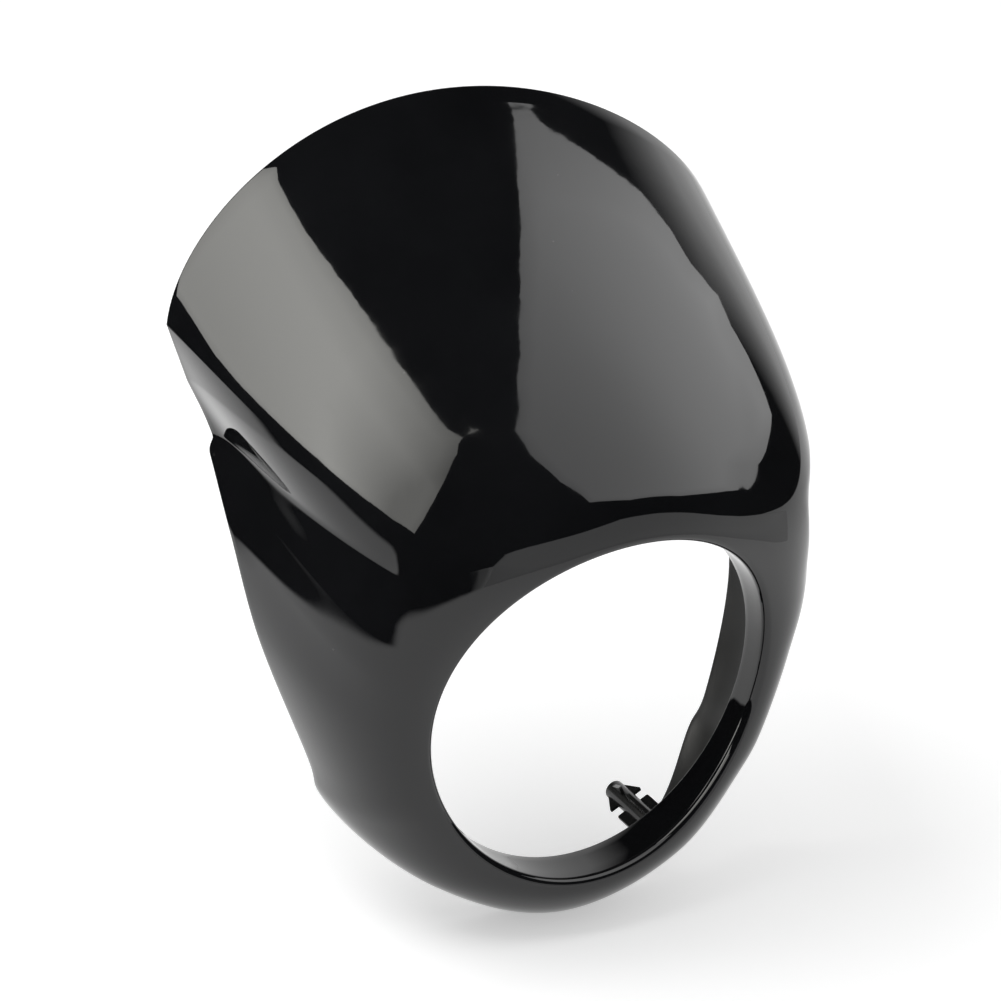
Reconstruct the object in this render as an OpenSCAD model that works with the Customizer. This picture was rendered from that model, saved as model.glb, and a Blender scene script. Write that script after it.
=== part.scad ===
// Headlight cowl: a one-piece moulded shell with a round lamp opening, a swept-back visor,
// a flute under each shoulder, notched side skirts and four screw bosses behind the ring.
// The lamp looks along -Y, +Z is up, and the origin is the centre of the lamp opening.

/* [Lamp opening] */
// Diameter of the opening inside the flange
opening_d = 165; // [150:1:180]
// Radius of the roll between the front face and the flange
lip_r = 3.5; // [2:0.5:5]
// Depth of the flange behind the middle of the front face
flange_depth = 24; // [22:1:34]
// Thickness of the flange wall
flange_wall = 2.5; // [2:0.25:4]
// How far the front face sweeps back at the sides
face_sweep = 15.5; // [0:0.5:18]
// How far the front face leans forward at the top and back at the bottom
face_lean = 3.5; // [0:0.5:6]
// Share of the front face's sweep that the back edge of the flange follows
flange_follow = 0.4; // [0:0.1:1]

/* [Visor and shoulders] */
// Wall thickness of the shell
wall = 3; // [2:0.25:4]
// Extra thickness where the shell's lining meets the flange
root_fillet = 2.5; // [0:0.5:4]
// How far each shoulder corner lies outside the front roll
shoulder_out = 55.5; // [45:1:70]
// Height of the shoulder corners above the lamp axis
shoulder_up = 120.5; // [105:1:135]
// How far the shoulder corners lie behind the origin
shoulder_back = 173.5; // [150:1:190]
// Height of the crown above the front roll
crown_up = 124.5; // [100:1:150]
// How far the crown lies behind the origin
crown_back = 191.5; // [160:1:215]
// How far the waist, under the shoulder, lies outside the front roll
waist_out = 38; // [32:0.5:44]
// Height of the waist above the lamp axis
waist_up = 78; // [72:1:84]
// How far the waist lies behind the origin
waist_back = 167; // [160:1:172]
// How far the flank, halfway up each side, lies outside the front roll
flank_out = 40.5; // [35:0.5:46]
// Height of the flank above the lamp axis
flank_up = 42.5; // [37:0.5:48]
// How far the flank lies behind the origin
flank_back = 126; // [118:1:134]
// Depth of the flute under each shoulder
flute_depth = 3.5; // [0:0.25:4.5]
// How many degrees the lower side of the flute widens by towards the front face
flute_spread = 10.5; // [6:0.5:14]

/* [Skirt and chin] */
// How far the hip, where the back edge starts to run down to the notch, lies outside the front roll
hip_out = 37.5; // [32:0.5:42]
// Height of the hip above the lamp axis
hip_up = 7.5; // [2:0.5:13]
// How far the hip lies behind the origin
hip_back = 99.5; // [92:0.5:108]
// How far the notch lies outside the front roll
notch_out = 18; // [10:1:28]
// Depth of the notch below the lamp axis
notch_down = 46; // [38:1:52]
// How far the notch lies behind the origin
notch_back = 75.5; // [60:1:90]
// How far the toe of the skirt lies outside the front roll
toe_out = 12; // [6:1:20]
// Depth of the toe below the lamp axis
toe_down = 61; // [56:1:68]
// How far the toe lies behind the origin
toe_back = 75; // [60:1:90]
// Depth of the chin below the front roll
chin_down = 27; // [22:0.5:36]
// How far the back edge of the chin lies behind the origin
chin_back = 37.5; // [28:0.5:46]

/* [Screw bosses] */
// How far the axes of the bosses lie outside the opening
boss_offset = 10; // [9:0.25:12]
// Angle of the bosses above and below the horizontal, seen from the front
boss_a = 58; // [52:1:64]
// How far the boss tips lie behind the origin
boss_back = 61.5; // [52:0.5:70]
// Outer diameter of a boss
boss_d = 9; // [8:0.5:11]
// Diameter of the pilot hole for the screw
pilot_d = 4.2; // [3:0.1:5]
// Depth of the pilot hole
pilot_depth = 22; // [12:1:30]
// Chamfer at the tip of a boss
boss_chamfer = 0.8; // [0.2:0.1:1.2]
// Thickness of the ribs and barbs on a boss
rib_t = 1.8; // [1.2:0.1:2.6]
// How far the ribs and barbs reach from the boss's axis
rib_reach = 8.5; // [7:0.5:9]
// Distance from the boss's tip down to the top of the ribs
rib_below = 16; // [13:0.5:22]
// Distance from the boss's tip down to the start of the barbs
barb_below = 2.5; // [1.5:0.5:5]
// Length of a barb along the boss
barb_length = 8; // [5:0.5:10]

/* [Hidden] */
$fn = 48;

opening_r = opening_d / 2;
roll_r = opening_r + lip_r;

// The lofted flange stays just inside the true bore that is cut through it
bore_allowance = 0.15;

// Angles around the lamp axis at which the loft's sections are set: -90 is the chin, 90 the crown
chin_a = -90;
cheek_a = -60;
toe_a = -32.5;
notch_a = -21.5;
hip_a = -5;
side_a = 0;
flank_a = 8;
loin_a = 20;
waist_a = 24.5;
flute_foot_a = 28.5;
flute_a = 31.8;
shoulder_a = 39;
brow_a = 63;
crown_a = 90;

// The cheek, halfway between toe and chin, as shares of their sizes
cheek_x_share = 0.64;
cheek_y_share = 0.43;
cheek_z_share = 0.52;

// Back edge of one side, from the chin to the shoulder: [angle, point]
lower_edge = [
    [chin_a, [0, chin_back, -roll_r - chin_down]],
    [cheek_a, [
        (roll_r + toe_out) * cheek_x_share,
        (chin_back + toe_back) * cheek_y_share,
        -(toe_down + roll_r + chin_down) * cheek_z_share
    ]],
    [toe_a, [roll_r + toe_out, toe_back, -toe_down]],
    [notch_a, [roll_r + notch_out, notch_back, -notch_down]],
    [hip_a, [roll_r + hip_out, hip_back, hip_up]],
    [flank_a, [roll_r + flank_out, flank_back, flank_up]],
    [waist_a, [roll_r + waist_out, waist_back, waist_up]],
    [shoulder_a, [roll_r + shoulder_out, shoulder_back, shoulder_up]]
];

// How the crown's arch leans back towards its middle
arch_power = 2.5;

// Fullness of the skin: [angle, [reach outward from the front roll, reach forward from the back
// edge, outward flare at the back edge, turn of the front reach along the roll]]
fullness = [
    [chin_a, [14, 14, -0.09, 0]],
    [toe_a, [11, 44, -0.06, 0]],
    [side_a, [30, 34, 0.04, 1]],
    [loin_a, [56, 35.5, 0.17, -5.5]],
    [shoulder_a, [75, 12, 0.22, -6]],
    [brow_a, [40, 80, 0.45, 0]],
    [crown_a, [44, 90, 0.57, 0]]
];

// Where along the skin the flute starts and where it reaches its full depth
flute_start = 0.235;
flute_full = 0.35;

// Share of the skin over which the lining's extra thickness fades out
root_run = 0.25;

// Steps of the loft, and the small steps that its directions are measured over
roll_steps = 4;
skin_steps = 18;
lining_steps = 12;
lining_start = 0.06;
step_a = 0.5;
step_s = 0.01;

// Screw boss positions, and how deep in the wall the bosses and ribs are rooted
boss_x = (opening_r + boss_offset) * cos(boss_a);
boss_z = (opening_r + boss_offset) * sin(boss_a);
root_depth = 1;
overlap = 0.4;

function unit(v) = v / norm(v);
function masked(v, keep) = [for (k = [0 : len(v) - 1]) v[k] * keep[k]];

// A smooth curve through a table of [angle, vector] rows, whose end slopes keep only some axes
function span_slope(t, i) = (t[i + 1][1] - t[i][1]) / (t[i + 1][0] - t[i][0]);
function knot_slope(t, i, first_keep, last_keep) =
    i == 0 ? masked(span_slope(t, 0), first_keep)
    : i == len(t) - 1 ? masked(span_slope(t, i - 1), last_keep)
    : (span_slope(t, i - 1) * (t[i + 1][0] - t[i][0]) + span_slope(t, i) * (t[i][0] - t[i - 1][0]))
        / (t[i + 1][0] - t[i - 1][0]);
function curve(t, a, first_keep, last_keep) =
    let(
        i = max(0, min(len(t) - 2, len([for (row = t) if (row[0] <= a) row]) - 1)),
        h = t[i + 1][0] - t[i][0],
        u = (a - t[i][0]) / h
    )
    (2 * pow(u, 3) - 3 * pow(u, 2) + 1) * t[i][1]
        + (pow(u, 3) - 2 * pow(u, 2) + u) * h * knot_slope(t, i, first_keep, last_keep)
        + (3 * pow(u, 2) - 2 * pow(u, 3)) * t[i + 1][1]
        + (pow(u, 3) - pow(u, 2)) * h * knot_slope(t, i + 1, first_keep, last_keep);

// Depth of the front face at an angle: swept back at the sides, leaning at top and bottom
function face_y(a) = face_sweep * pow(cos(a), 2) - face_lean * sin(a);

// Back edge from the shoulder over the crown, an elliptical arch that leans back
function arch(a) =
    let(t = 90 * (a - shoulder_a) / (crown_a - shoulder_a))
    [
        (roll_r + shoulder_out) * cos(t),
        shoulder_back + (crown_back - shoulder_back) * pow(sin(t), arch_power),
        shoulder_up + (roll_r + crown_up - shoulder_up) * sin(t)
    ];
function back_edge(a) = a < shoulder_a ? curve(lower_edge, a, [1, 0, 0], [1, 1, 1]) : arch(a);

// Control points of the skin's section at an angle, from the front roll to the back edge
function section(a) =
    let(
        front = roll_r * [cos(a), 0, sin(a)] + [0, face_y(a), 0],
        back = back_edge(a),
        full = curve(fullness, a, [0, 0, 0, 0], [0, 0, 0, 0]),
        out = [cos(a + full[3]), 0, sin(a + full[3])],
        away = unit(full[2] * unit([back[0], 0, back[2]]) + [0, 1, 0])
    )
    [front, front + full[0] * out, back - full[1] * away, back];
function bezier(q, s) =
    pow(1 - s, 3) * q[0] + 3 * pow(1 - s, 2) * s * q[1] + 3 * (1 - s) * pow(s, 2) * q[2] + pow(s, 3) * q[3];

// Direction from the outside of the skin to its inside, level across the middle of the cowl
function inward(a, s) =
    let(
        q = section(a),
        across = bezier(section(min(crown_a, a + step_a)), s) - bezier(section(max(chin_a, a - step_a)), s),
        along = bezier(q, min(1, s + step_s)) - bezier(q, max(0, s - step_s))
    )
    unit(masked(cross(across, along), a == chin_a || a == crown_a ? [0, 1, 1] : [1, 1, 1]));

// How far a value has come on its way between two others, from 0 to 1
function share(from, to, value) = min(1, max(0, (value - from) / (to - from)));

// Depth of the flute below the shoulder's crest, wider and fading out towards the front face
function flute(a, s) =
    let(
        foot_a = flute_foot_a - flute_spread * (1 - s),
        sunk = a < flute_a ? share(foot_a, flute_a, a) : share(shoulder_a, flute_a, a)
    )
    flute_depth * pow(sin(90 * sunk), 2) * pow(sin(90 * share(flute_start, flute_full, s)), 2);

// Outer skin and lining at an angle and a share of the way to the back edge
function skin(a, s) = bezier(section(a), s) + inward(a, s) * flute(a, s);
function thickness(s) = wall + root_fillet * pow(max(0, 1 - s / root_run), 2);
function lining(a, s) = bezier(section(a), s) + inward(a, s) * (flute(a, s) + thickness(s));

// One closed loop of the shell's surface at an angle: front roll, skin, lining, flange
function loop(a) =
    let(
        dir = [cos(a), 0, sin(a)],
        y = face_y(a),
        tail = flange_depth + flange_follow * y,
        inner_r = opening_r - bore_allowance
    )
    concat(
        [for (t = [0 : 90 / roll_steps : 89])
            dir * (roll_r - (roll_r - inner_r) * cos(t)) + [0, y + lip_r * (1 - sin(t)), 0]],
        [for (k = [0 : skin_steps]) skin(a, k / skin_steps)],
        [for (k = [lining_steps : -1 : 0]) lining(a, lining_start + (1 - lining_start) * k / lining_steps)],
        [
            dir * (opening_r + flange_wall) + [0, y + lip_r + wall + root_fillet, 0],
            dir * (opening_r + flange_wall) + [0, tail, 0],
            dir * inner_r + [0, tail, 0]
        ]
    );

// Angles of one side's loops, closer together where the back edge bends
function divided(from, to, count) = [for (k = [0 : count - 1]) from + (to - from) * k / count];
side_angles = concat(
    divided(chin_a, toe_a, 12),
    divided(toe_a, notch_a, 4),
    divided(notch_a, hip_a, 4),
    divided(hip_a, flank_a, 4),
    divided(flank_a, waist_a, 6),
    divided(waist_a, flute_foot_a, 3),
    divided(flute_foot_a, flute_a, 2),
    divided(flute_a, shoulder_a, 5),
    divided(shoulder_a, crown_a, 12),
    [crown_a]
);

// The moulded shell, lofted up one side and mirrored down the other
module shell() {
    side = [for (a = side_angles) loop(a)];
    around = concat(
        side,
        [for (i = [len(side) - 2 : -1 : 1]) [for (p = side[i]) masked(p, [-1, 1, 1])]]
    );
    rows = len(around);
    row_length = len(around[0]);
    polyhedron(
        points = [for (row = around) for (p = row) p],
        faces = [for (i = [0 : rows - 1]) for (j = [0 : row_length - 1])
            let(
                near = i * row_length,
                far = ((i + 1) % rows) * row_length,
                next = (j + 1) % row_length
            )
            each [[near + j, far + j, far + next], [near + j, far + next, near + next]]]
    );
}

// Depth of the skin behind a point of the front view, found by stepping along the loft
function skin_depth(x, z, a, s, turns) =
    let(p = bezier(section(a), s))
    turns == 0 ? p[1] : skin_depth(
        x,
        z,
        a + atan2(z, x) - atan2(p[2], p[0]),
        max(0, s + (norm([x, z]) - norm([p[0], p[2]])) / (3 * norm(section(a)[1] - section(a)[0]))),
        turns - 1
    );
search_turns = 12;
function depth_at(x, z) = skin_depth(x, z, atan2(z, x), 0, search_turns);

// A flat rib in the plane of the boss's axis and one direction: the outline is [reach, depth] points
module rib(turn, outline) {
    rotate([0, -turn, 0])
        linear_extrude(rib_t, center = true)
            polygon(outline);
}

// One screw boss on the +X side, with four ribs up from the wall and four barbs near its tip.
// Its foot is cut along the slope of the wall, so that it is rooted all round and never comes through.
module boss(x, z) {
    out_a = atan2(z, x);
    boss_r = boss_d / 2;
    quarters = [0 : 90 : 270];
    feet = [for (turn = quarters)
        depth_at(x + boss_r * cos(out_a + turn), z + boss_r * sin(out_a + turn)) + root_depth];
    foot = (feet[0] + feet[1] + feet[2] + feet[3]) / len(feet);
    barb_end = boss_back - barb_below - barb_length;
    translate([x, 0, z])
        rotate([0, -out_a, 0]) {
            difference() {
                rotate([-90, 0, 0]) {
                    cylinder(d = boss_d, h = boss_back - boss_chamfer);
                    translate([0, 0, boss_back - boss_chamfer])
                        cylinder(r1 = boss_r, r2 = boss_r - boss_chamfer, h = boss_chamfer);
                }
                translate([0, foot, 0])
                    rotate([atan2(feet[3] - feet[1], boss_d), 0, atan2(feet[0] - feet[2], boss_d)])
                        translate([0, -boss_back / 2, 0])
                            cube(boss_back, center = true);
            }
            for (turn = quarters) {
                end = depth_at(x + rib_reach * cos(out_a + turn), z + rib_reach * sin(out_a + turn));
                rib(turn, [
                    [0, foot],
                    [rib_reach, end + root_depth],
                    [rib_reach, boss_back - rib_below],
                    [0, boss_back - rib_below]
                ]);
                rib(turn, [
                    [boss_r - overlap, barb_end],
                    [rib_reach, barb_end],
                    [boss_r - overlap, boss_back - barb_below]
                ]);
            }
        }
}

// Places what is on the +X side on the -X side as well
module both_sides() {
    children();
    mirror([1, 0, 0])
        children();
}

module cowl() {
    color("#101114")
        difference() {
            union() {
                shell();
                both_sides() {
                    boss(boss_x, -boss_z);
                    boss(boss_x, boss_z);
                }
            }
            rotate([90, 0, 0])
                cylinder(r = opening_r, h = 2 * boss_back, center = true);
            both_sides()
                for (z = [-boss_z, boss_z])
                    translate([boss_x, boss_back - pilot_depth, z])
                        rotate([-90, 0, 0])
                            cylinder(d = pilot_d, h = pilot_depth + overlap);
        }
}

cowl();
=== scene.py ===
"""Headlight cowl: a glossy one-piece moulded shell, stood on a pale studio floor."""
import math
import bmesh
import bpy
import numpy as np
from mathutils import Matrix, Vector


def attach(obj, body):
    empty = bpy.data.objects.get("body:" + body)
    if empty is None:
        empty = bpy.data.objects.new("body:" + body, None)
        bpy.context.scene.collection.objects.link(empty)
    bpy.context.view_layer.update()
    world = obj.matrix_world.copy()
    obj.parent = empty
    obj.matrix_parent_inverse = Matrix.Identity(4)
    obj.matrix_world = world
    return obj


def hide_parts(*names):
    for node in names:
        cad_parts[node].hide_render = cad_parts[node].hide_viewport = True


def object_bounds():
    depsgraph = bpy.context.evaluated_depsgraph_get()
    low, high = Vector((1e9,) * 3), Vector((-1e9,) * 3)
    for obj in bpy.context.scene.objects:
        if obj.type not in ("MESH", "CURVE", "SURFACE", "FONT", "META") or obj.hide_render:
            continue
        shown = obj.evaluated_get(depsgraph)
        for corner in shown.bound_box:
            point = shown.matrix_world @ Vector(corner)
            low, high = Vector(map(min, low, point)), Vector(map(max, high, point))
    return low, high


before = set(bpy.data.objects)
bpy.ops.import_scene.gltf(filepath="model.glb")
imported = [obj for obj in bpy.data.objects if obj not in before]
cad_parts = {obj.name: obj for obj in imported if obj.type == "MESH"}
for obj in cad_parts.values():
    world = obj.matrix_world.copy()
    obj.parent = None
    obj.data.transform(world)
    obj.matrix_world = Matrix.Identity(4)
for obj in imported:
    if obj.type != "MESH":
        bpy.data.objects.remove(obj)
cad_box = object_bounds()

MM = 0.001

# ---------------------------------------------------- the form, as in part.scad except the flute
# Millimetres and degrees. Angles run round the lamp axis: -90 is the chin, 0 the side, 90 the crown.
OPENING_R, LIP_R = 82.5, 3.5
ROLL_R = OPENING_R + LIP_R
FLANGE_DEPTH, FLANGE_WALL, FLANGE_FOLLOW = 24, 2.5, 0.4
FACE_SWEEP, FACE_LEAN = 15.5, 3.5
WALL, ROOT_FILLET, ROOT_RUN = 3, 2.5, 0.25
CHIN_A, WAIST_A, SHOULDER_A, CROWN_A = -90, 24.5, 39, 90
SHOULDER = np.array([ROLL_R + 55.5, 173.5, 120.5])
CROWN = np.array([0, 191.5, ROLL_R + 124.5])
ARCH_POWER = 2.5
# The solid's facets cut its curve 0.01 mm short, and this chin stays inside them
CHIN = (37.5, ROLL_R + 26.98)
TOE = (ROLL_R + 12, 75, 61)
# Back edge of one side, from the chin to the shoulder: {angle: point}
LOWER_EDGE = {
    CHIN_A: (0, CHIN[0], -CHIN[1]),
    -60: (TOE[0] * 0.64, (CHIN[0] + TOE[1]) * 0.43, -(TOE[2] + CHIN[1]) * 0.52),
    -32.5: (TOE[0], TOE[1], -TOE[2]),
    -21.5: (ROLL_R + 18, 75.5, -46),
    -5: (ROLL_R + 37.5, 99.5, 7.5),
    8: (ROLL_R + 40.5, 126, 42.5),
    WAIST_A: (ROLL_R + 38, 167, 78),
    SHOULDER_A: tuple(SHOULDER),
}
# {angle: (reach outward from the front roll, reach forward from the back edge, outward flare at the
# back edge, turn of the front reach along the roll)}
FULLNESS = {
    CHIN_A: (14, 14, -0.09, 0),
    -32.5: (11, 44, -0.06, 0),
    0: (30, 34, 0.04, 1),
    20: (56, 35.5, 0.17, -5.5),
    SHOULDER_A: (75, 12, 0.22, -6),
    63: (40, 80, 0.45, 0),
    CROWN_A: (44, 90, 0.57, 0),
}
# The flute's hollow begins at its foot. Its trough rises towards the front, and its swell ends a run
# above the trough. Start and full are shares of the way from the front roll to the back edge.
FLUTE_DEPTH, FLUTE_FOOT_A, FLUTE_A, FLUTE_RISE, FLUTE_RUN = 4.2, 19, 21.3, 14.7, 8.8
FLUTE_HOLLOW, FLUTE_SWELL, FLUTE_BLEND = 1.9, 1.1, 12
FLUTE_START, FLUTE_FULL = 0.17, 0.25
# Small steps over which the skin's directions are measured
STEP_A, STEP_S = 0.5, 0.01


def cosd(a):
    return np.cos(np.radians(a))


def sind(a):
    return np.sin(np.radians(a))


def unit(v):
    return v / np.linalg.norm(v, axis=-1, keepdims=True)


def curve(table, a, first, last):
    """A smooth curve through a table of {angle: vector} rows, whose end slopes keep only some axes."""
    at = np.array(list(table), float)
    rows = np.array(list(table.values()), float)
    span = np.diff(at)[:, None]
    rise = np.diff(rows, axis=0) / span
    slope = np.empty_like(rows)
    slope[0], slope[-1] = rise[0] * first, rise[-1] * last
    slope[1:-1] = (rise[:-1] * span[1:] + rise[1:] * span[:-1]) / (span[1:] + span[:-1])
    i = np.clip(np.searchsorted(at, a, side="right") - 1, 0, len(at) - 2)
    u = ((a - at[i]) / span[i, 0])[:, None]
    return (
        (2 * u**3 - 3 * u**2 + 1) * rows[i] + (u**3 - 2 * u**2 + u) * span[i] * slope[i]
        + (3 * u**2 - 2 * u**3) * rows[i + 1] + (u**3 - u**2) * span[i] * slope[i + 1]
    )


def face_y(a):
    return FACE_SWEEP * cosd(a) ** 2 - FACE_LEAN * sind(a)


def back_edge(a):
    low = curve(LOWER_EDGE, np.minimum(a, SHOULDER_A), np.array([1, 0, 0]), np.ones(3))
    t = 90 * np.clip((a - SHOULDER_A) / (CROWN_A - SHOULDER_A), 0, 1)
    rise = np.stack([np.zeros_like(t), sind(t) ** ARCH_POWER, sind(t)], -1)
    arch = SHOULDER * [0, 1, 1] + (CROWN - SHOULDER) * rise + SHOULDER * [1, 0, 0] * cosd(t)[:, None]
    return np.where((a < SHOULDER_A)[:, None], low, arch)


def section(a):
    """Control points of the skin's section at each angle, from the front roll to the back edge."""
    flat = np.zeros_like(a)
    front = np.stack([ROLL_R * cosd(a), face_y(a), ROLL_R * sind(a)], -1)
    back = back_edge(a)
    full = curve(FULLNESS, a, np.zeros(4), np.zeros(4))
    out = np.stack([cosd(a + full[:, 3]), flat, sind(a + full[:, 3])], -1)
    away = unit(full[:, 2:3] * unit(back * [1, 0, 1]) + [0, 1, 0])
    return np.stack([front, front + full[:, :1] * out, back - full[:, 1:2] * away, back], 1)


def cubic(q, s):
    """The point at s of the cubic with control points q[..., 0, :] to q[..., 3, :]."""
    a, b, c, d = (q[..., k, :] for k in range(4))
    return (1 - s) ** 3 * a + 3 * (1 - s) ** 2 * s * b + 3 * (1 - s) * s**2 * c + s**3 * d


def bezier(q, s):
    """Points of each section at each s."""
    return cubic(q[:, None], s[None, :, None])


def inward(a, s):
    """Direction from the outside of the skin to its inside, level across the middle of the cowl."""
    q = section(a)
    after, before = section(np.minimum(CROWN_A, a + STEP_A)), section(np.maximum(CHIN_A, a - STEP_A))
    across = bezier(after, s) - bezier(before, s)
    along = bezier(q, np.minimum(1, s + STEP_S)) - bezier(q, np.maximum(0, s - STEP_S))
    n = np.cross(across, along)
    n[(a == CHIN_A) | (a == CROWN_A), :, 0] = 0
    return unit(n)


def share(first, last, value):
    """How far a value has come from first to last, kept between 0 and 1."""
    return np.clip((value - first) / (last - first), 0, 1)


def flute(a, s):
    """Depth of the flute: a hollow that deepens to a trough, then swells out again to the shoulder."""
    a, s = a[:, None], s[None, :]
    trough = FLUTE_A + FLUTE_RISE * (1 - s)
    hollow = np.clip((a - FLUTE_FOOT_A) / (trough - FLUTE_FOOT_A), 0, 3) ** FLUTE_HOLLOW
    swell = np.clip(1 - (a - trough) / FLUTE_RUN, 0, 3) ** FLUTE_SWELL
    inside = (hollow > 0) & (swell > 0)
    eased = np.log1p(np.exp(-FLUTE_BLEND * np.abs(hollow - swell))) / FLUTE_BLEND * inside
    sunk = np.clip(np.minimum(hollow, swell) - eased, 0, 1)
    return (FLUTE_DEPTH * sunk * sind(90 * share(FLUTE_START, FLUTE_FULL, s)) ** 2)[..., None]


def skin(a, s):
    return bezier(section(a), s) + inward(a, s) * flute(a, s)


def lining(a, s):
    thick = WALL + ROOT_FILLET * np.maximum(0, 1 - s / ROOT_RUN)[None, :, None] ** 2
    return bezier(section(a), s) + inward(a, s) * (flute(a, s) + thick)


# ---------------------------------------------------------------- the shell's mesh
ROLL_STEPS, SKIN_STEPS, LINING_STEPS, ROUND_STEPS, ROOT_STEPS = 12, 84, 40, 4, 5
RIM_R, FLANGE_EDGE_R = 0.7, 0.5
LINING_START = 0.08
ROOT_DROP = 3
# Where the rows stand round one side: (angle, rows from there to the next angle)
ROW_STOPS = ((CHIN_A, 44), (-32.5, 18), (-21.5, 18), (-5, 22), (8, 20), (16, 30), (WAIST_A, 52),
             (SHOULDER_A, 56), (CROWN_A, 0))


def spaced(stops):
    """Angles from stop to stop, each stop given as (angle, steps to the next one)."""
    out = []
    for (a, steps), (b, _) in zip(stops, stops[1:]):
        out += list(np.linspace(a, b, steps, endpoint=False))
    return np.array(out + [stops[-1][0]], float)


def ring(a, radius, depth):
    return np.stack([radius * cosd(a), depth, radius * sind(a)], -1)


def rounded(corner, before, after, radius):
    """Points of a rounded corner between two unit directions that lead away from it."""
    points = []
    for t in np.linspace(0, 90, ROUND_STEPS + 1):
        points.append(corner + radius * (before * (1 - sind(t)) + after * (1 - cosd(t))))
    return points


def shell_rows():
    """Rows of points round the cowl, from the flange's bore over the roll, skin and lining to its back."""
    a = spaced(ROW_STOPS)
    y = face_y(a)
    tail = FLANGE_DEPTH + FLANGE_FOLLOW * y
    radial = ring(a, 1, np.zeros_like(a))
    back = np.array([0.0, 1.0, 0.0])
    rows, finish = [], []

    def add(points, inside):
        for p in points:
            rows.append(p)
            finish.append(inside)

    inner = ring(a, OPENING_R, tail)
    add(rounded(inner, radial, -back, FLANGE_EDGE_R), 0)
    front = y + LIP_R
    for way in (0.25, 0.5, 0.75):
        add([ring(a, OPENING_R, tail + (front - tail) * way)], 0)
    for t in np.linspace(0, 90, ROLL_STEPS + 1)[:-1]:
        add([ring(a, ROLL_R - LIP_R * cosd(t), y + LIP_R * (1 - sind(t)))], 0)
    s = np.linspace(0, 1, SKIN_STEPS + 1)
    outer = skin(a, s)
    # the last points are left out where the rounded rim takes their place
    reach = np.linalg.norm(outer[:, -1] - outer[:, -2], axis=-1)
    keep = s < 1 - 1.5 * RIM_R / (reach.min() * SKIN_STEPS)
    add(list(outer[:, keep].transpose(1, 0, 2)), 0)
    end = np.array([1.0])
    rim_out, rim_in = skin(a, end)[:, 0], lining(a, end)[:, 0]
    across = unit(rim_in - rim_out)
    down = unit(outer[:, -2] - outer[:, -1])
    add(rounded(rim_out, down, across, RIM_R), 0)
    add(rounded(rim_in, -across, down, RIM_R), 1)
    s = np.linspace(1, LINING_START, LINING_STEPS + 1)[1:]
    inner_skin = lining(a, s)
    add(list(inner_skin.transpose(1, 0, 2)), 1)
    # the lining turns down on to the flange in a rounded root
    root = y + LIP_R + WALL + ROOT_FILLET
    corner = ring(a, OPENING_R + FLANGE_WALL, root)
    foot = ring(a, OPENING_R + FLANGE_WALL, root + ROOT_DROP)
    start = inner_skin[:, -1]
    for t in np.linspace(0, 1, ROOT_STEPS + 1)[1:]:
        add([start * (1 - t) ** 2 + corner * 2 * t * (1 - t) + foot * t**2], 1)
    outer_end = ring(a, OPENING_R + FLANGE_WALL, tail)
    add([foot * 0.5 + outer_end * 0.5], 1)
    add(rounded(outer_end, -back, -radial, FLANGE_EDGE_R), 1)
    return np.array(rows).transpose(1, 0, 2), np.array(finish)


def make_piece(name, verts, faces, materials, slots=None):
    mesh = bpy.data.meshes.new(name)
    mesh.from_pydata([tuple(v) for v in verts], [], faces)
    for material in materials:
        mesh.materials.append(material)
    if slots is not None:
        mesh.polygons.foreach_set("material_index", np.array(slots, np.int32))
    mesh.polygons.foreach_set("use_smooth", np.ones(len(mesh.polygons), bool))
    mesh.update()
    piece = bpy.data.objects.new(name, mesh)
    bpy.context.scene.collection.objects.link(piece)
    return piece


def shell_mesh(materials):
    half, finish = shell_rows()
    mirrored = half[-2:0:-1] * [-1, 1, 1]
    around = np.concatenate([half, mirrored]) * MM
    n, m = around.shape[:2]
    i, j = np.meshgrid(np.arange(n), np.arange(m), indexing="ij")
    far, beyond = (i + 1) % n, (j + 1) % m
    faces = np.stack([i * m + j, i * m + beyond, far * m + beyond, far * m + j], -1).reshape(-1, 4)
    slots = np.broadcast_to(finish, (n, m)).reshape(-1)
    return make_piece("cowl_shell", around.reshape(-1, 3), faces[:, ::-1].tolist(), materials, slots)


# ---------------------------------------------------------------- screw bosses
BOSS_OFFSET, BOSS_A = 10, math.radians(58)
BOSS_X, BOSS_Z = (OPENING_R + BOSS_OFFSET) * math.cos(BOSS_A), (OPENING_R + BOSS_OFFSET) * math.sin(BOSS_A)
BOSS_BACK, BOSS_D, PILOT_D, PILOT_DEPTH, BOSS_CHAMFER = 61.5, 9, 4.2, 22, 0.8
RIB_T, RIB_REACH, RIB_BELOW, BARB_BELOW, BARB_LENGTH = 1.8, 8.5, 16, 2.5, 8
ROOT_DEPTH = 1
BOSS_SIDES, TIP_STEPS, MOUTH = 56, 5, 0.3
# How far the ribs and barbs run into the boss, how far their edges are softened, and their sides' fall
PLATE_ROOT, PLATE_SOFT, PLATE_CORNER = 0.4, 0.25, 0.6
DEPTH_STEPS = 14


def skin_depth(x, z):
    """Depth of the skin behind points of the front view, found by stepping along the loft."""
    x, z = np.atleast_1d(x).astype(float), np.atleast_1d(z).astype(float)
    a, s = np.degrees(np.arctan2(z, np.abs(x))), np.zeros_like(x)
    for _ in range(DEPTH_STEPS):
        q = section(a)
        p = cubic(q, s[:, None])
        turn = np.degrees(np.arctan2(z, np.abs(x)) - np.arctan2(p[:, 2], p[:, 0]))
        pace = 3 * np.linalg.norm(q[:, 1] - q[:, 0], axis=-1)
        s = np.maximum(0, s + (np.hypot(x, z) - np.hypot(p[:, 0], p[:, 2])) / pace)
        a = a + turn
    return p[:, 1]


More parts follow.
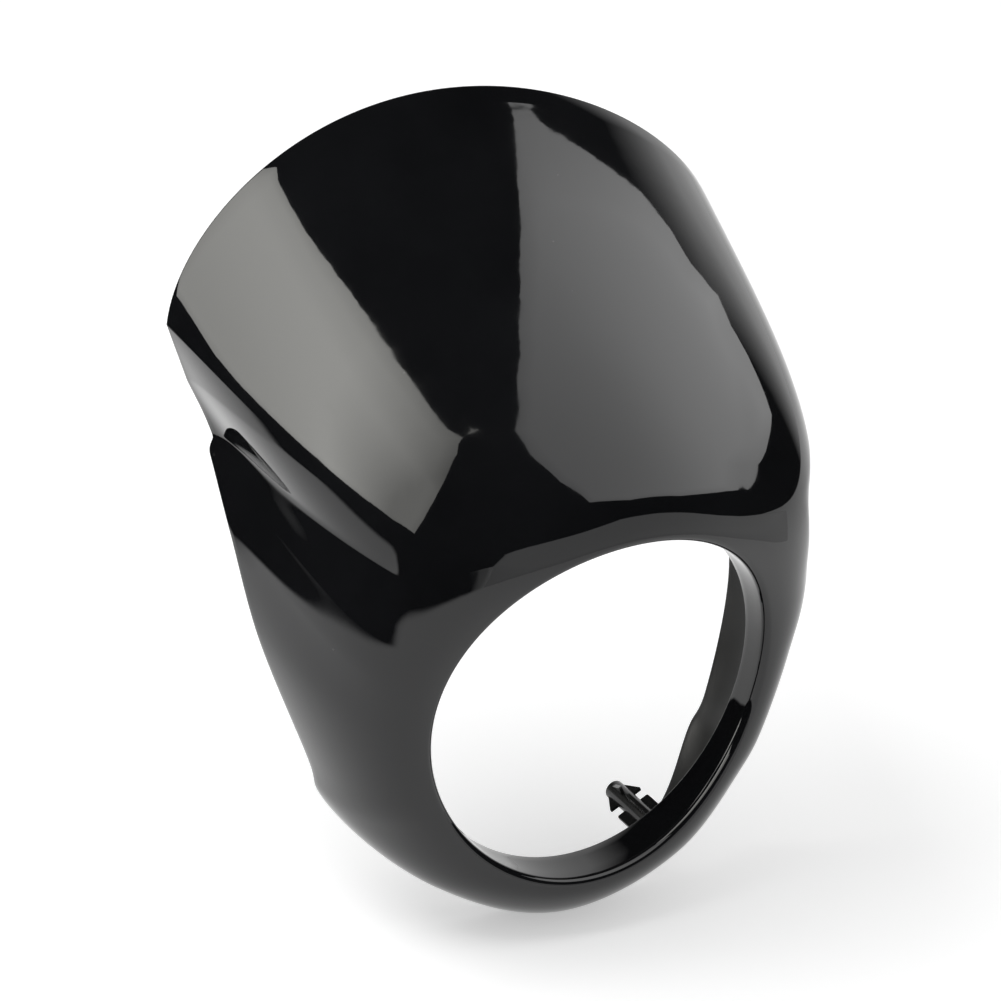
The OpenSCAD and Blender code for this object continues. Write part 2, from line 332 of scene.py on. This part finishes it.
def add_solid(bm, outline_rows):
    """Joins closed rows of points, each as long as the next, into one skin with capped ends."""
    rows = [[bm.verts.new(Vector(p) * MM) for p in row] for row in outline_rows]
    n = len(rows[0])
    for lower, upper in zip(rows, rows[1:]):
        for k in range(n):
            bm.faces.new((lower[k], lower[(k + 1) % n], upper[(k + 1) % n], upper[k]))
    bm.faces.new(rows[0][::-1])
    bm.faces.new(rows[-1])


def boss(bm, x, z):
    """One screw boss: a drilled tube with a softened tip, rooted in the wall, four ribs and four barbs."""
    turns = np.linspace(0, 360, BOSS_SIDES, endpoint=False)
    r, hole = BOSS_D / 2, PILOT_D / 2
    cx, sz = x + r * cosd(turns), z + r * sind(turns)
    foot = skin_depth(cx, sz) + ROOT_DEPTH

    def circle(radius, depth):
        depths = np.broadcast_to(depth, BOSS_SIDES)
        return list(zip(x + radius * cosd(turns), depths, z + radius * sind(turns)))

    tip = []
    for t in np.linspace(0, 90, TIP_STEPS + 1):
        tip.append(circle(r - BOSS_CHAMFER * (1 - cosd(t)), BOSS_BACK - BOSS_CHAMFER * (1 - sind(t))))
    inside = [circle(hole + MOUTH, BOSS_BACK), circle(hole + MOUTH * 0.3, BOSS_BACK - MOUTH * 0.3),
              circle(hole, BOSS_BACK - MOUTH), circle(hole, BOSS_BACK - PILOT_DEPTH)]
    halfway = foot * 0.5 + (BOSS_BACK - 2) * 0.5
    add_solid(bm, [circle(r, foot), circle(r, halfway)] + tip + inside)

    out = math.degrees(math.atan2(z, x))
    for turn in (0, 90, 180, 270):
        d = np.array([cosd(out + turn), 0, sind(out + turn)])
        t = np.array([-d[2], 0, d[0]]) * RIB_T / 2
        centre = np.array([x, 0, z])

        def plate(outline):
            """A thin plate along d with softened edges, from its outline in (reach, depth)."""
            rows = []
            for side, inset in ((-1, PLATE_SOFT), (-0.75, 0), (0.75, 0), (1, PLATE_SOFT)):
                mid = np.mean(outline, axis=0)
                row = []
                for reach, depth in outline:
                    pull = np.array([mid[0] - reach, mid[1] - depth])
                    pull = pull / np.linalg.norm(pull) * inset
                    at = centre + d * (reach + pull[0]) + t * side
                    at[1] = depth + pull[1]
                    row.append(tuple(at))
                rows.append(row)
            add_solid(bm, rows)

        reaches = np.linspace(0, RIB_REACH, 5)
        under = skin_depth(x + reaches * d[0], z + reaches * d[2]) + ROOT_DEPTH
        top = BOSS_BACK - RIB_BELOW
        plate(list(zip(reaches, under))
              + [(RIB_REACH, top - PLATE_CORNER), (RIB_REACH - PLATE_CORNER, top), (0, top)])
        barb_end = BOSS_BACK - BARB_BELOW - BARB_LENGTH
        inner = r - PLATE_ROOT
        plate([(inner, barb_end), (RIB_REACH - 0.3, barb_end), (RIB_REACH, barb_end + 0.5),
               (inner + 0.3, BOSS_BACK - BARB_BELOW), (inner, BOSS_BACK - BARB_BELOW)])


def boss_mesh(material):
    bm = bmesh.new()
    for x in (-BOSS_X, BOSS_X):
        for z in (-BOSS_Z, BOSS_Z):
            boss(bm, x, z)
    bmesh.ops.recalc_face_normals(bm, faces=bm.faces)
    mesh = bpy.data.meshes.new("screw_bosses")
    bm.to_mesh(mesh)
    bm.free()
    mesh.materials.append(material)
    mesh.polygons.foreach_set("use_smooth", np.ones(len(mesh.polygons), bool))
    mesh.set_sharp_from_angle(angle=math.radians(35))
    piece = bpy.data.objects.new("screw_bosses", mesh)
    bpy.context.scene.collection.objects.link(piece)
    return piece


# ---------------------------------------------------------------- materials
def new_material(name):
    material = bpy.data.materials.new(name)
    material.use_nodes = True
    tree = material.node_tree
    tree.nodes.clear()
    return material, tree


def node(tree, kind, **values):
    """A new node, with its settings or its input sockets set by name."""
    made = tree.nodes.new(kind)
    for key, value in values.items():
        if hasattr(made, key):
            setattr(made, key, value)
        else:
            made.inputs[key.replace("_", " ")].default_value = value
    return made


def ramp(tree, source, stops):
    """A colour ramp fed by a socket, from (position, colour) stops."""
    made = tree.nodes.new("ShaderNodeValToRGB")
    elements = made.color_ramp.elements
    while len(elements) < len(stops):
        elements.new(0.5)
    for element, (at, colour) in zip(elements, stops):
        element.position = at
        element.color = (*colour, 1)
    tree.links.new(source, made.inputs["Fac"])
    return made


def grey(value):
    return (value, value, value)


def finish_material(tree, socket):
    out = node(tree, "ShaderNodeOutputMaterial")
    tree.links.new(socket, out.inputs["Surface"])


BLACK_LOW, BLACK_HIGH, DUST = (0.0042, 0.0044, 0.0050), (0.0070, 0.0073, 0.0082), grey(0.10)
POLISH_LOW, POLISH_HIGH = grey(0.02), grey(0.05)


def gloss_plastic():
    """Polished black plastic, with slight dust, soft patches of haze and the ripple of its mould."""
    material, tree = new_material("gloss_black")
    link = tree.links.new
    place = node(tree, "ShaderNodeTexCoord")
    shader = node(tree, "ShaderNodeBsdfPrincipled")
    finish_material(tree, shader.outputs["BSDF"])
    shader.inputs["IOR"].default_value = 1.5
    # slow variation in tone, and sparse dust specks that catch the light
    cloud = node(tree, "ShaderNodeTexNoise", Scale=14.0, Detail=4.0, Roughness=0.6)
    link(place.outputs["Object"], cloud.inputs["Vector"])
    tone = ramp(tree, cloud.outputs["Fac"], [(0.3, BLACK_LOW), (0.7, BLACK_HIGH)])
    dust = node(tree, "ShaderNodeTexVoronoi", Scale=160.0)
    link(place.outputs["Object"], dust.inputs["Vector"])
    pick = node(tree, "ShaderNodeTexWhiteNoise")
    link(dust.outputs["Position"], pick.inputs["Vector"])
    near = node(tree, "ShaderNodeMapRange", From_Min=0.03, From_Max=0.06, To_Min=1.0, To_Max=0.0)
    link(dust.outputs["Distance"], near.inputs["Value"])
    rare = node(tree, "ShaderNodeMapRange", From_Min=0.95, From_Max=0.96)
    link(pick.outputs["Value"], rare.inputs["Value"])
    speck = node(tree, "ShaderNodeMath", operation="MULTIPLY")
    link(near.outputs["Result"], speck.inputs[0])
    link(rare.outputs["Result"], speck.inputs[1])
    # sockets 6 and 7 of a Mix node are its colours A and B, and output 2 is their mix
    mix = node(tree, "ShaderNodeMix", data_type="RGBA")
    link(speck.outputs["Value"], mix.inputs["Factor"])
    link(tone.outputs["Color"], mix.inputs[6])
    mix.inputs[7].default_value = (*DUST, 1)
    link(mix.outputs[2], shader.inputs["Base Color"])
    # polish: mostly mirror-like, hazier in soft patches
    haze = node(tree, "ShaderNodeTexNoise", Scale=38.0, Detail=5.0, Roughness=0.65)
    link(place.outputs["Object"], haze.inputs["Vector"])
    rough = ramp(tree, haze.outputs["Fac"], [(0.35, POLISH_LOW), (0.7, POLISH_HIGH)])
    link(rough.outputs["Color"], shader.inputs["Roughness"])
    # moulding ripple, a few millimetres long and microns deep
    ripple = node(tree, "ShaderNodeTexNoise", Scale=120.0, Detail=1.5, Roughness=0.4)
    link(place.outputs["Object"], ripple.inputs["Vector"])
    bump = node(tree, "ShaderNodeBump", Strength=0.05, Distance=0.0003)
    link(ripple.outputs["Fac"], bump.inputs["Height"])
    link(bump.outputs["Normal"], shader.inputs["Normal"])
    return material


def satin_plastic(name, base, low, high, grain):
    """Moulded plastic off a plain tool face, for the inside and the bosses."""
    material, tree = new_material(name)
    link = tree.links.new
    place = node(tree, "ShaderNodeTexCoord")
    shader = node(tree, "ShaderNodeBsdfPrincipled")
    finish_material(tree, shader.outputs["BSDF"])
    cloud = node(tree, "ShaderNodeTexNoise", Scale=22.0, Detail=5.0, Roughness=0.6)
    link(place.outputs["Object"], cloud.inputs["Vector"])
    tone = ramp(tree, cloud.outputs["Fac"], [(0.3, grey(base * 0.8)), (0.7, grey(base * 1.25))])
    link(tone.outputs["Color"], shader.inputs["Base Color"])
    rough = ramp(tree, cloud.outputs["Fac"], [(0.3, grey(low)), (0.7, grey(high))])
    link(rough.outputs["Color"], shader.inputs["Roughness"])
    fine = node(tree, "ShaderNodeTexNoise", Scale=grain, Detail=3.0, Roughness=0.6)
    link(place.outputs["Object"], fine.inputs["Vector"])
    bump = node(tree, "ShaderNodeBump", Strength=0.2, Distance=0.0002)
    link(fine.outputs["Fac"], bump.inputs["Height"])
    link(bump.outputs["Normal"], shader.inputs["Normal"])
    return material


# ---------------------------------------------------------------- the camera
IMAGE_PX, FOCAL_PX, SENSOR = 1001, 4521.65, 36.0
CAMERA_AZ, CAMERA_EL, CAMERA_ROLL = -34.987, 25.252, math.radians(8.552)
CAMERA_BACK, CAMERA_RIGHT, CAMERA_UP = 1.9118, -0.05115, 0.09081


def towards(azimuth, elevation):
    """Direction in the frame: azimuth 0 is the front, 90 the +X side."""
    a, e = math.radians(azimuth), math.radians(elevation)
    return Vector((math.sin(a) * math.cos(e), -math.cos(a) * math.cos(e), math.sin(e)))


def add_camera():
    back = towards(CAMERA_AZ, CAMERA_EL)
    level = towards(CAMERA_AZ + 90, 0)
    upright = back.cross(level)
    right = math.cos(CAMERA_ROLL) * level + math.sin(CAMERA_ROLL) * upright
    up = -math.sin(CAMERA_ROLL) * level + math.cos(CAMERA_ROLL) * upright
    data = bpy.data.cameras.new("camera")
    data.sensor_width = SENSOR
    data.lens = SENSOR * FOCAL_PX / IMAGE_PX
    data.clip_start, data.clip_end = 0.05, 50
    camera = bpy.data.objects.new("camera", data)
    bpy.context.scene.collection.objects.link(camera)
    turn = Matrix((right, up, back)).transposed()
    place = back * CAMERA_BACK + right * CAMERA_RIGHT + up * CAMERA_UP
    camera.matrix_world = Matrix.Translation(place) @ turn.to_4x4()
    bpy.context.scene.camera = camera


# ---------------------------------------------------------------- the studio
FLOOR_SIZE = 12.0
FLOOR_ALBEDO = 0.86
# The floor's own light, for rays that show it as a background
FLOOR_LIFT = 0.41
FLOOR_Z = float(cad_box[0][2])
# How bright the dark room looks in reflections, and how much light falls in from all round
ROOM, FILL = 0.012, 0.55
# The backdrop brightens where reflections turn towards this direction, between these dot products
BACKDROP, BACKDROP_DARK, BACKDROP_WHITE = towards(150, 0), 0.66, 0.82
CARD_DISTANCE = 6.0
PANEL_RINGS, PANEL_EDGE, OUTLINE_STEPS = 10, 0.85, 6
KEY_WAY, KEY_DISTANCE, KEY_SIZE, KEY_POWER = towards(-110, 55), 2.2, (1.6, 1.2), 24

# Outlines of the far panels as (azimuth, elevation), and of the near one in metres across and up
LEFT_SOFTBOX = (
    (-116, 79), (-108, 81.6), (-82, 84), (-28, 83), (-8, 77), (-3, 75), (-9, 71.7), (-28, 58.7),
    (-42, 34.7), (-48, 21.5), (-57, 23.8), (-77.5, 21.9), (-93.5, 15.8), (-105.6, 7.6), (-115.4, -0.3),
    (-120, -3), (-124.5, 1), (-129, 13), (-137, 32), (-142, 57), (-145, 75),
)
RIGHT_SOFTBOX = (
    (0.184, 0.134), (0.166, 0.154), (0.139, 0.178), (0.096, 0.221), (0.033, 0.279), (-0.077, 0.363),
    (-0.213, 0.432), (-0.301, 0.427), (-0.433, 0.378), (-0.581, 0.254), (-0.468, 0.055), (-0.267, -0.136),
    (-0.117, -0.226), (-0.055, -0.178), (0.011, -0.176), (0.069, -0.184), (0.111, -0.154), (0.151, -0.129),
    (0.181, -0.127), (0.183, -0.086), (0.199, -0.063), (0.206, -0.026), (0.200, 0.030), (0.197, 0.055),
    (0.192, 0.091), (0.191, 0.109),
)
FRONT_REFLECTOR = (
    (-8, -21), (-6, 8), (0, 14), (17, 17), (33, 12), (49, 6), (65, -1), (80, -5), (80, -18), (55, -24),
    (25, -26),
)
LEFT_TINT = (1, 0.995, 0.95)


def left_level(way):
    """The left softbox is brightest straight out to the side, and falls off forward, back and overhead."""
    rise = min(1, max(0, way.y * 2.5 + 1.05))
    return 2.6 + 4.1 * rise - 4.5 * max(0, way.y - 0.03) - 5.5 * max(0, way.x + 0.35)


def right_level(across, up):
    return 2.16 + 0.3 * across - 1.06 * up


def front_level(way):
    return 0.95


def any_ray(tree, *kinds):
    """1 for a ray of any of these kinds, such as Is Camera Ray, and 0 for others."""
    path = node(tree, "ShaderNodeLightPath")
    total = path.outputs[kinds[0]]
    for kind in kinds[1:]:
        both = node(tree, "ShaderNodeMath", operation="ADD", use_clamp=True)
        tree.links.new(total, both.inputs[0])
        tree.links.new(path.outputs[kind], both.inputs[1])
        total = both.outputs["Value"]
    return total


def add_floor():
    mesh = bpy.data.meshes.new("floor")
    h, z = FLOOR_SIZE / 2, FLOOR_Z
    mesh.from_pydata([(-h, -h, z), (h, -h, z), (h, h, z), (-h, h, z)], [], [(0, 1, 2, 3)])
    floor = bpy.data.objects.new("floor", mesh)
    bpy.context.scene.collection.objects.link(floor)
    material, tree = new_material("pale_floor")
    link = tree.links.new
    paint = node(tree, "ShaderNodeBsdfDiffuse")
    paint.inputs["Color"].default_value = (*grey(FLOOR_ALBEDO), 1)
    lift = node(tree, "ShaderNodeEmission")
    glow = node(tree, "ShaderNodeMath", operation="MULTIPLY")
    link(any_ray(tree, "Is Camera Ray", "Is Transmission Ray", "Is Glossy Ray"), glow.inputs[0])
    glow.inputs[1].default_value = FLOOR_LIFT
    link(glow.outputs["Value"], lift.inputs["Strength"])
    both = node(tree, "ShaderNodeAddShader")
    link(paint.outputs["BSDF"], both.inputs[0])
    link(lift.outputs["Emission"], both.inputs[1])
    finish_material(tree, both.outputs["Shader"])
    mesh.materials.append(material)


def background(tree, level):
    made = node(tree, "ShaderNodeBackground", Strength=level)
    made.inputs["Color"].default_value = (1, 1, 1, 1)
    return made


def chosen(tree, factor, off, on):
    """One surface or background where the factor is 0, and another where it is 1."""
    mix = node(tree, "ShaderNodeMixShader")
    for socket, end in zip((factor, off, on), mix.inputs):
        tree.links.new(socket, end)
    return mix.outputs["Shader"]


def add_world():
    """White to the camera. Reflections see a white backdrop behind and right, and a dark room elsewhere."""
    world = bpy.data.worlds.new("studio")
    bpy.context.scene.world = world
    world.use_nodes = True
    tree = world.node_tree
    tree.nodes.clear()
    link = tree.links.new
    place = node(tree, "ShaderNodeTexCoord")
    behind = node(tree, "ShaderNodeVectorMath", operation="DOT_PRODUCT")
    link(place.outputs["Generated"], behind.inputs[0])
    behind.inputs[1].default_value = BACKDROP
    room = ramp(tree, behind.outputs["Value"], [(BACKDROP_DARK, grey(ROOM)), (BACKDROP_WHITE, grey(1.0))])
    mirror = background(tree, 1.0)
    link(room.outputs["Color"], mirror.inputs["Color"])
    fill, white = background(tree, FILL), background(tree, 1.0)
    glossy = any_ray(tree, "Is Glossy Ray")
    lit = chosen(tree, glossy, fill.outputs["Background"], mirror.outputs["Background"])
    seen = any_ray(tree, "Is Camera Ray", "Is Transmission Ray")
    out = node(tree, "ShaderNodeOutputWorld")
    link(chosen(tree, seen, lit, white.outputs["Background"]), out.inputs["Surface"])


def only_in_reflections(thing):
    thing.visible_camera = thing.visible_diffuse = thing.visible_shadow = thing.visible_transmission = False
    bpy.context.scene.collection.objects.link(thing)


def add_panel(name, middle, rim, level, tint=(1, 1, 1)):
    """A soft light panel seen only in reflections, filled between its middle and its rim."""
    count = len(rim)
    verts = [middle.lerp(corner, j / PANEL_RINGS) for j in range(PANEL_RINGS + 1) for corner in rim]
    glow = [level(v) * (1 if k < PANEL_RINGS * count else PANEL_EDGE) for k, v in enumerate(verts)]
    faces = []
    for j in range(PANEL_RINGS):
        for i in range(count):
            n = (i + 1) % count
            faces.append((j * count + i, j * count + n, (j + 1) * count + n, (j + 1) * count + i))
    mesh = bpy.data.meshes.new(name)
    mesh.from_pydata([tuple(v) for v in verts], [], faces)
    mesh.attributes.new("glow", "FLOAT", "POINT").data.foreach_set("value", glow)
    material, tree = new_material(name)
    light = node(tree, "ShaderNodeEmission")
    light.inputs["Color"].default_value = (*tint, 1)
    strength = node(tree, "ShaderNodeAttribute", attribute_name="glow")
    tree.links.new(strength.outputs["Fac"], light.inputs["Strength"])
    finish_material(tree, light.outputs["Emission"])
    mesh.materials.append(material)
    only_in_reflections(bpy.data.objects.new(name, mesh))


def add_far_panel(name, seen_from, middle, outline, level, tint=(1, 1, 1)):
    """A panel far away, whose outline is given as (azimuth, elevation) pairs from a point of the cowl."""
    start = Vector(seen_from)

    def place(way):
        way = way.normalized()
        if way.z >= 0:
            return start + way * CARD_DISTANCE
        above_floor = 0.9 * (start.z - FLOOR_Z) / -way.z
        return start + way * min(CARD_DISTANCE, above_floor)

    rim = []
    for k, corner in enumerate(outline):
        here, there = towards(*corner), towards(*outline[(k + 1) % len(outline)])
        rim += [place(here.lerp(there, i / OUTLINE_STEPS)) for i in range(OUTLINE_STEPS)]
    add_panel(name, place(towards(*middle)), rim, lambda v: level((v - start).normalized()), tint)


def add_near_panel(name, seen_from, facing, distance, middle, outline, level):
    """A flat panel near the cowl, whose outline is given in metres across and up its own plane."""
    away = towards(*facing)
    across = towards(facing[0] + 90, 0)
    up = away.cross(across)
    start = Vector(seen_from) + away * distance
    corners = [start + across * x + up * y for x, y in outline]
    add_panel(name, start + across * middle[0] + up * middle[1], corners,
              lambda v: level((v - start).dot(across), (v - start).dot(up)))


def add_dark_floor(first, last, inner, outer, fade):
    """The unlit floor on one side of the table, seen only in reflections, between two azimuths."""
    steps, lift = 48, 0.0008
    radii = [inner, inner + fade * 0.25, inner + fade * 0.5, inner + fade * 0.75, inner + fade, outer]
    verts, cover = [], []
    for i in range(steps + 1):
        d = towards(first + (last - first) * i / steps, 0)
        side = min(1, i / 4, (steps - i) / 2)
        for k, r in enumerate(radii):
            verts.append((d.x * r, d.y * r, FLOOR_Z + lift))
            t = min(1, k / 4)
            cover.append(side * t * t * (3 - 2 * t))
    n = len(radii)
    faces = [(i * n + k, i * n + k + 1, (i + 1) * n + k + 1, (i + 1) * n + k)
             for i in range(steps) for k in range(n - 1)]
    mesh = bpy.data.meshes.new("dark_floor")
    mesh.from_pydata(verts, [], faces)
    mesh.attributes.new("cover", "FLOAT", "POINT").data.foreach_set("value", cover)
    material, tree = new_material("dark_floor")
    level = node(tree, "ShaderNodeAttribute", attribute_name="cover")
    clear = node(tree, "ShaderNodeBsdfTransparent")
    unlit = node(tree, "ShaderNodeEmission", Strength=1.0)
    unlit.inputs["Color"].default_value = (*grey(ROOM), 1)
    floor = chosen(tree, level.outputs["Fac"], clear.outputs["BSDF"], unlit.outputs["Emission"])
    finish_material(tree, floor)
    mesh.materials.append(material)
    only_in_reflections(bpy.data.objects.new("dark_floor", mesh))


def add_key():
    """The soft light that makes the shadow. The panels stand for it in reflections."""
    data = bpy.data.lights.new("key", "AREA")
    data.shape = "RECTANGLE"
    data.size, data.size_y = KEY_SIZE
    data.energy = KEY_POWER
    key = bpy.data.objects.new("key", data)
    key.location = KEY_WAY * KEY_DISTANCE
    key.rotation_mode = "QUATERNION"
    key.rotation_quaternion = (-KEY_WAY).to_track_quat("-Z", "Y")
    key.visible_glossy = False
    key.visible_camera = False
    bpy.context.scene.collection.objects.link(key)


# ---------------------------------------------------------------- putting it together
gloss = gloss_plastic()
inside = satin_plastic("satin_inside", 0.012, 0.28, 0.42, 900.0)
raw = satin_plastic("moulded_boss", 0.010, 0.18, 0.30, 700.0)

shell = shell_mesh([gloss, inside])
bosses = boss_mesh(raw)
for piece in (shell, bosses):
    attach(piece, "root")
    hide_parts("cowl")

add_camera()
add_floor()
add_world()
add_key()
add_dark_floor(first=-168, last=-8, inner=0.50, outer=9.0, fade=0.10)
add_far_panel("left_softbox", (-0.115, 0.10, 0.125), (-85, 50), LEFT_SOFTBOX, left_level, LEFT_TINT)
add_near_panel("right_softbox", (0.02, 0.09, 0.14), (80, 40), 0.35, (-0.10, 0.12), RIGHT_SOFTBOX,
               right_level)
add_far_panel("front_reflector", (-0.02, 0.0, 0.09), (30, -5), FRONT_REFLECTOR, front_level)

scene = bpy.context.scene
scene.view_settings.view_transform = "Standard"
